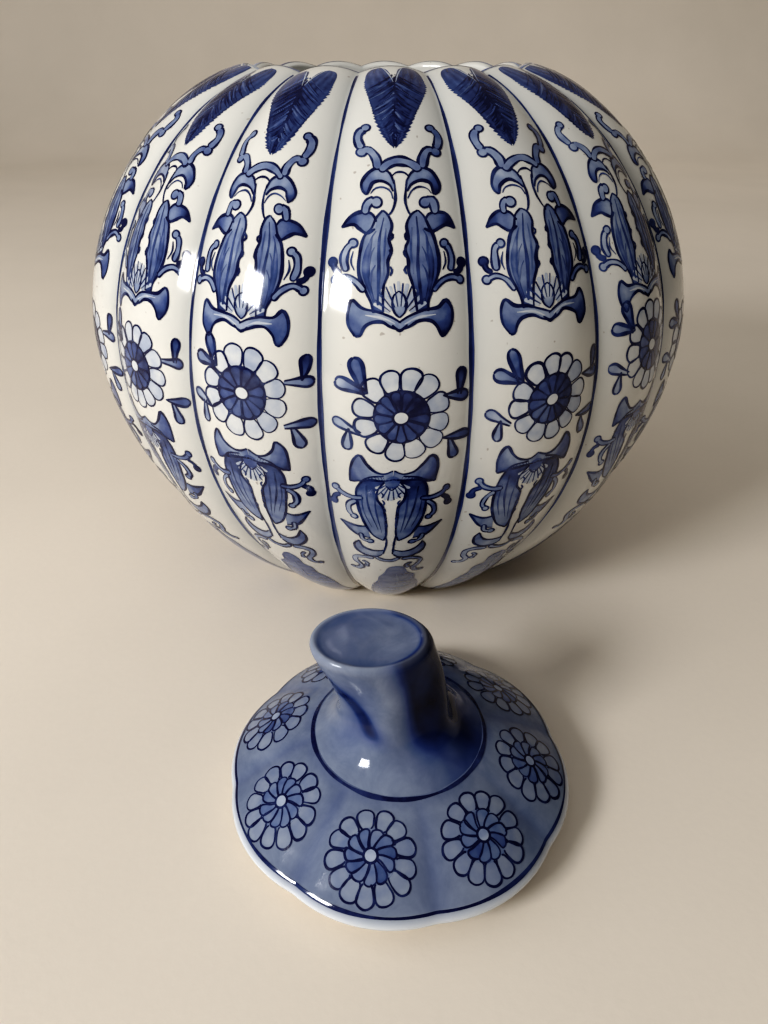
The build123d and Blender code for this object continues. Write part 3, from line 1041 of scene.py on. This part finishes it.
def lid_flower(brush):
    """The lid's version of the rosette: outlined cells of a paler wash than the ground."""
    start = brush.vary(3)
    inner_count = brush.random.choice((10, 11, 11))
    outer_count = brush.random.choice((12, 13, 13))
    for turn in around(brush, start, outer_count, 0.1):
        half = math.pi / outer_count * brush.random.uniform(0.92, 1.0)
        petal(brush, PLUMP, turn, 8.6, 15.6 + brush.vary(0.5), half, 0.27 + brush.vary(0.05), 0.72)
    brush.disc(0, 0, 9.0, 0.45, layer=WASH)
    for turn in around(brush, start, inner_count, 0.12):
        shade = 0.42 + brush.vary(0.05) + 0.25 * brush.random.random() ** 3
        petal(
            brush, SLIM, turn, 2.2, 8.8 + brush.vary(0.3), math.pi / inner_count * 0.96, shade, 0.62,
            (SHADE, LINE), 0.3,
        )
    brush.disc(0, 0, 2.8, 1.0, layer=LINE)
    brush.disc(0, 0, 1.9, 0.38, layer=CORE)


def paint_lid(wash_material, line_material):
    """Eight flowers round the dome, one to a lobe, as a wash piece and a line piece each."""
    for lobe in range(LOBES):
        brush = Brush(310 + lobe)
        angle = LOBE_TURN + lobe * LOBE_PITCH + math.radians(brush.vary(2.5))
        reach = LID_FLOWER_REACH + brush.vary(0.5)
        # In the order (y, x), as lid_place() takes them.
        outward = np.array([-math.cos(angle), math.sin(angle)])
        sideways = np.array([math.sin(angle), math.cos(angle)])
        size = LID_FLOWER_SIZE * brush.random.uniform(0.97, 1.03)

        def place(points, reach=reach, outward=outward, sideways=sideways, size=size):
            points = np.array(points, float) * size
            across, down = points[..., :1], points[..., 1:] * math.cos(LID_SLOPE)
            return outward * (reach + down) + sideways * across

        brush.place = place
        lid_flower(brush)
        hang(brush.wash, lid_place, f"lid_paint_wash_{lobe}", wash_material, "lid")
        hang(brush.line, lid_place, f"lid_paint_line_{lobe}", line_material, "lid")


def lid_lines(material):
    """The painted rings round the lid's edge and round the foot of the stalk."""
    columns = LOBES * 40
    angle = circle(columns)
    upper = LID_LINE[:, 0].argmax()
    points, tones, faces = [], [], []
    for middle, width in ((54.6, 1.0), (27.7, 1.2)):
        index = upper + np.abs(LID_LINE[upper:, 0] - middle).argmin()
        reach = along(LID_LINE)
        first = len(points)
        uneven = 1 + 0.25 * np.sin(angle * 5 + middle) + 0.15 * np.sin(angle * 13)
        for share in (-0.5, 0, 0.5):
            rows = []
            for column in range(columns):
                place = reach[index] + share * width * uneven[column]
                radius = np.interp(place, reach, LID_LINE[:, 0])
                z = np.interp(place, reach, LID_LINE[:, 1])
                here, height = lobe_ring(
                    radius, z, np.interp(place, reach, LID_SHARES), angle[column:column + 1]
                )
                rows.append((here[0] + 0.1, height[0] + 0.1))
            rows = np.array(rows)
            points += list(ring(rows[:, 0], rows[:, 1], columns) + (0, LID_Y, 0))
            tones += list(0.95 + 0.06 * np.sin(angle * 4 + 1))
        faces += ring_faces(first, 3, columns)
    return mesh_object(
        "lid_paint_rings", points, faces, material, "lid", values={"tone": tones}
    )


# ---- materials ----
GLAZE_ROUGHNESS = 0.085
GLAZE_IOR = 1.52
RIPPLE = 0.00008


class Shader:
    """A Principled material with a few short ways to wire procedural nodes."""

    def __init__(self, name, roughness=GLAZE_ROUGHNESS, ior=GLAZE_IOR):
        self.material = bpy.data.materials.new(name)
        self.material.use_nodes = True
        self.nodes = self.material.node_tree.nodes
        self.links = self.material.node_tree.links
        self.surface = self.nodes["Principled BSDF"]
        self.surface.inputs["Roughness"].default_value = roughness
        self.surface.inputs["IOR"].default_value = ior
        self.coordinates = self.nodes.new("ShaderNodeTexCoord").outputs["Object"]

    def feed(self, socket, value):
        """Sets a socket to a number or a colour, or links it to another node's output."""
        if isinstance(value, (int, float)):
            socket.default_value = value
        elif isinstance(value, tuple):
            socket.default_value = (*value, 1.0)
        else:
            self.links.new(value, socket)

    def attribute(self, name):
        node = self.nodes.new("ShaderNodeAttribute")
        node.attribute_name = name
        return node.outputs["Fac"]

    def noise(self, scale, detail=3.0, roughness=0.55, distortion=0.0):
        node = self.nodes.new("ShaderNodeTexNoise")
        settings = {"Scale": scale, "Detail": detail, "Roughness": roughness, "Distortion": distortion}
        for socket, value in settings.items():
            node.inputs[socket].default_value = value
        self.links.new(self.coordinates, node.inputs["Vector"])
        return node.outputs["Fac"]

    def math(self, operation, a, b=0.0, c=0.0):
        node = self.nodes.new("ShaderNodeMath")
        node.operation = operation
        for socket, value in zip(node.inputs, (a, b, c)):
            self.feed(socket, value)
        return node.outputs[0]

    def spread(self, value, low, high):
        """Value remapped from low..high to 0..1 and clamped."""
        node = self.nodes.new("ShaderNodeMapRange")
        self.links.new(value, node.inputs["Value"])
        node.inputs["From Min"].default_value = low
        node.inputs["From Max"].default_value = high
        return node.outputs["Result"]

    def mix(self, share, first, second, blend="MIX"):
        node = self.nodes.new("ShaderNodeMix")
        node.data_type = "RGBA"
        node.blend_type = blend
        for index, value in ((0, share), (6, first), (7, second)):
            self.feed(node.inputs[index], value)
        return node.outputs[2]

    def ramp(self, value, stops):
        node = self.nodes.new("ShaderNodeValToRGB")
        elements = node.color_ramp.elements
        while len(elements) < len(stops):
            elements.new(0.5)
        for element, (place, colour) in zip(elements, stops):
            element.position = place
            element.color = (*colour, 1.0)
        self.links.new(value, node.inputs["Fac"])
        return node.outputs["Color"]

    def colour(self, value):
        self.links.new(value, self.surface.inputs["Base Color"])

    def bump(self, height, distance):
        node = self.nodes.new("ShaderNodeBump")
        node.inputs["Distance"].default_value = distance
        self.links.new(height, node.inputs["Height"])
        self.links.new(node.outputs["Normal"], self.surface.inputs["Normal"])

    def glaze_surface(self):
        """The slow ripples of a fired glaze, the same under the paint and beside it."""
        self.bump(self.noise(55, 2.0), RIPPLE)
        speckle = self.spread(self.noise(240, 2.0), 0.3, 0.8)
        roughness = self.math("MULTIPLY_ADD", speckle, 0.05, GLAZE_ROUGHNESS - 0.02)
        self.links.new(roughness, self.surface.inputs["Roughness"])


IVORY = (0.67, 0.655, 0.61)
IVORY_COOL = (0.62, 0.62, 0.60)
# Grey of pooled glaze and of painted shade in the grooves, under the base and inside.
POOLED_GLAZE_AND_SHADE = (0.41, 0.42, 0.41)
SPECK = (0.20, 0.14, 0.10)
COBALT_STOPS = (
    (0.0, (0.60, 0.61, 0.61)),
    (0.25, (0.39, 0.43, 0.51)),
    (0.48, (0.205, 0.25, 0.37)),
    (0.72, (0.058, 0.088, 0.220)),
    (1.0, (0.004, 0.007, 0.050)),
)
LID_WASH_STOPS = (
    (0.0, (0.305, 0.34, 0.395)),
    (0.25, (0.21, 0.242, 0.325)),
    (0.5, (0.115, 0.155, 0.275)),
    (0.75, (0.036, 0.060, 0.17)),
    (1.0, (0.003, 0.006, 0.05)),
)
SLATE = (0.150, 0.180, 0.256)
SLATE_PALE = (0.238, 0.270, 0.345)
SLATE_DARK = (0.072, 0.095, 0.165)
LID_LIP = (0.70, 0.72, 0.74)
# Blues of pooled cobalt and of painted shade on the lid; the darkest is painted shade down the stalk's right
# side.
POOLED_COBALT_AND_SHADE = (0.034, 0.060, 0.180)
DEEP_COBALT_SHADE = (0.003, 0.004, 0.022)
SLATE_SPECULAR = 0.28
GROOVE_GREY = (0.30, 0.26, 0.20)
BISCUIT = (0.74, 0.69, 0.60)
BISCUIT_STAIN = (0.52, 0.42, 0.30)
TABLE = (0.78, 0.705, 0.61)
TABLE_CLOUD = (0.73, 0.66, 0.57)
TABLE_GRAIN = (0.60, 0.54, 0.47)


def white_glaze():
    shader = Shader("white_glaze")
    clouds = shader.spread(shader.noise(16, 3.0), 0.3, 0.75)
    base = shader.mix(shader.math("MULTIPLY", clouds, 0.4), IVORY, IVORY_COOL)
    # Pooled glaze and painted shade grey the grooves; painted shade greys the underside and the inside.
    darker_by = shader.math("MULTIPLY", shader.attribute("pool_and_shade"), 0.75)
    base = shader.mix(darker_by, base, POOLED_GLAZE_AND_SHADE)
    specks = shader.spread(shader.noise(520, 0.0), 0.83, 0.86)
    shader.colour(shader.mix(shader.math("MULTIPLY", specks, 0.45), base, SPECK))
    shader.glaze_surface()
    return shader.material


def cobalt(name, stops=COBALT_STOPS):
    shader = Shader(name)
    darker_by = shader.math("SUBTRACT", shader.noise(260, 4.0, 0.6), 0.5)
    streaks = shader.math("SUBTRACT", shader.noise(70, 3.0, 0.6, 1.5), 0.5)
    tone = shader.math("MULTIPLY_ADD", darker_by, 0.28, shader.attribute("tone"))
    tone = shader.math("MULTIPLY_ADD", streaks, 0.22, tone)
    shader.colour(shader.ramp(tone, stops))
    shader.glaze_surface()
    return shader.material


def groove_cobalt():
    """The line in the grooves turns from blue to a brownish grey near the foot."""
    shader = Shader("groove_cobalt")
    split = shader.nodes.new("ShaderNodeSeparateXYZ")
    shader.links.new(shader.coordinates, split.inputs[0])
    uneven = shader.math("SUBTRACT", shader.noise(90, 3.0), 0.5)
    tone = shader.math("MULTIPLY_ADD", uneven, 0.35, shader.attribute("tone"))
    blue = shader.ramp(tone, COBALT_STOPS)
    height = shader.spread(split.outputs["Z"], 0.012, 0.06)
    shader.colour(shader.mix(height, GROOVE_GREY, blue))
    shader.glaze_surface()
    return shader.material


def slate_glaze():
    shader = Shader("slate_glaze")
    brushed = shader.spread(shader.noise(60, 5.0, 0.65, 1.2), 0.3, 0.75)
    base = shader.mix(brushed, SLATE, SLATE_PALE)
    mottle = shader.spread(shader.noise(170, 4.0, 0.6), 0.42, 0.75)
    base = shader.mix(shader.math("MULTIPLY", mottle, 0.3), base, SLATE_DARK)
    uneven = shader.spread(shader.noise(45, 3.0), 0.25, 0.7)
    # Pooled cobalt and painted shade: the lid's grooves, the stalk's flutes, its crease and its shaded right
    # side run to deep blue.
    darker_by = shader.math("MULTIPLY", shader.attribute("pool_and_shade"), shader.math("MULTIPLY_ADD", uneven, 0.5, 0.6))
    base = shader.mix(shader.spread(darker_by, 0.0, 0.6), base, POOLED_COBALT_AND_SHADE)
    base = shader.mix(shader.spread(darker_by, 0.45, 1.0), base, DEEP_COBALT_SHADE)
    shader.colour(shader.mix(shader.attribute("pale"), base, LID_LIP))
    shader.surface.inputs["Specular IOR Level"].default_value = SLATE_SPECULAR
    shader.glaze_surface()
    return shader.material


def bare_porcelain():
    shader = Shader("bare_porcelain", roughness=0.62)
    stains = shader.spread(shader.noise(90, 4.0, 0.6), 0.4, 0.75)
    shader.colour(shader.mix(stains, BISCUIT, BISCUIT_STAIN))
    shader.bump(shader.noise(900, 3.0), 0.00012)
    return shader.material


def table_top():
    shader = Shader("table_top", roughness=0.5)
    clouds = shader.spread(shader.noise(5, 4.0), 0.3, 0.75)
    grain = shader.spread(shader.noise(350, 3.0), 0.3, 0.8)
    base = shader.mix(clouds, TABLE, TABLE_CLOUD)
    shader.colour(shader.mix(shader.math("MULTIPLY", grain, 0.08), base, TABLE_GRAIN))
    shader.bump(grain, 0.00003)
    return shader.material


# ---- the studio ----
CAMERA_PLACE = (-0.0077, -0.3335, 0.2145)
CAMERA_PITCH = -31.99
CAMERA_YAW = 1.08
CAMERA_ROLL = 0.06
CAMERA_LENS = 26.1
# Name, azimuth, elevation, distance, size, energy, colour, and whether the glaze mirrors it.
LIGHTS = (
    ("window", -48, 26, 1.5, (0.40, 0.29), 18.0, (1.0, 1.0, 1.0), True),
    ("side", -88, 30, 1.9, (1.5, 1.2), 6.5, (0.97, 0.98, 1.0), False),
    ("ceiling", -20, 78, 1.7, (1.4, 1.4), 2.5, (0.97, 0.98, 1.0), False),
    ("back_fill", 160, 34, 2.0, (1.5, 1.2), 5.0, (1.0, 0.97, 0.93), False),
)
BRIGHT_SIDE = (-0.62, -0.25, 0.55)
SURROUND_COLOUR = (1.0, 0.965, 0.91, 1.0)
SURROUND_RANGE = (("From Min", -0.8), ("From Max", 0.8), ("To Min", 0.03), ("To Max", 0.38))
# The darkest tones are pulled down and the rest is left: light that comes in, and what is shown for it.
DEEP_SHADOWS = ((0.03, 0.010), (0.12, 0.095), (0.35, 0.35))


def make_camera():
    data = bpy.data.cameras.new("camera")
    data.sensor_width = 36.0
    data.lens = CAMERA_LENS
    data.clip_start = 0.01
    camera = bpy.data.objects.new("camera", data)
    bpy.context.scene.collection.objects.link(camera)
    camera.location = CAMERA_PLACE
    camera.rotation_euler = (
        math.radians(90 + CAMERA_PITCH), math.radians(CAMERA_ROLL), math.radians(-CAMERA_YAW)
    )
    bpy.context.scene.camera = camera


def make_floor():
    """A plain table top that sweeps up to a wall far behind the jar."""
    half, back, bend, top = 4.0, 1.9, 0.5, 2.6
    profile = [(-half, 0.0), (back - bend, 0.0)]
    for t in np.linspace(0, math.pi / 2, 13)[1:]:
        profile.append((back - bend + bend * math.sin(t), bend - bend * math.cos(t)))
    profile.append((back, top))
    points = [(x, y, z) for x in (-half, half) for y, z in profile]
    count = len(profile)
    faces = [(i, i + count, i + count + 1, i + 1) for i in range(count - 1)]
    mesh = bpy.data.meshes.new("floor")
    mesh.from_pydata(points, [], faces)
    mesh.shade_smooth()
    mesh.materials.append(table_top())
    floor = bpy.data.objects.new("floor", mesh)
    bpy.context.scene.collection.objects.link(floor)


def area_light(name, azimuth, elevation, distance, size, energy, colour, mirrored_in_glaze):
    """A soft rectangle that faces the jar, from an azimuth counted from -Y towards +X."""
    data = bpy.data.lights.new(name, "AREA")
    data.shape = "RECTANGLE"
    data.size, data.size_y = size
    data.energy = energy
    data.color = colour
    light = bpy.data.objects.new(name, data)
    bpy.context.scene.collection.objects.link(light)
    a, e = math.radians(azimuth), math.radians(elevation)
    light.location = (
        distance * math.sin(a) * math.cos(e),
        -distance * math.cos(a) * math.cos(e),
        0.1 + distance * math.sin(e),
    )
    light.rotation_euler = (math.radians(90) - e, 0, a)
    light.visible_glossy = mirrored_in_glaze


def make_world():
    """An even pale surround, brighter on the left and above."""
    world = bpy.data.worlds.new("surround")
    bpy.context.scene.world = world
    world.use_nodes = True
    nodes, links = world.node_tree.nodes, world.node_tree.links
    background = nodes["Background"]
    direction = nodes.new("ShaderNodeTexCoord").outputs["Generated"]
    toward = nodes.new("ShaderNodeVectorMath")
    toward.operation = "DOT_PRODUCT"
    toward.inputs[1].default_value = BRIGHT_SIDE
    links.new(direction, toward.inputs[0])
    ramp = nodes.new("ShaderNodeMapRange")
    for socket, value in SURROUND_RANGE:
        ramp.inputs[socket].default_value = value
    links.new(toward.outputs["Value"], ramp.inputs["Value"])
    links.new(ramp.outputs["Result"], background.inputs["Strength"])
    background.inputs["Color"].default_value = SURROUND_COLOUR


make_camera()
make_floor()
make_world()
for row in LIGHTS:
    area_light(*row)
view = bpy.context.scene.view_settings
view.view_transform = "Standard"
view.gamma = 0.86
view.use_curve_mapping = True
for light, shown in DEEP_SHADOWS:
    view.curve_mapping.curves[3].points.new(light, shown)
view.curve_mapping.update()

white = white_glaze()
wash = cobalt("cobalt_wash")
line = cobalt("cobalt_line")
lid_wash = cobalt("lid_wash", LID_WASH_STOPS)
groove_blue = groove_cobalt()
slate = slate_glaze()
bare = bare_porcelain()

jar_body(white)
turned_ring("jar_foot", FOOT_OUTER, FOOT_INNER, 0.0, WALL_FOOT_Z + 0.3, 0.0, bare, "jar", "jar_foot_ring")
groove_lines(groove_blue)
rim_line(line)
for rib in range(-7, 9):
    paint_rib(rib, wash, line)

lid_shell(slate)
turned_ring(
    "lid_flange_foot", FLANGE_OUTER, FLANGE_INNER, 0.0, FLANGE_TOP + 0.3, LID_Y, bare, "lid", "lid_flange"
)
lid_stalk(slate)
paint_lid(lid_wash, line)
lid_lines(line)
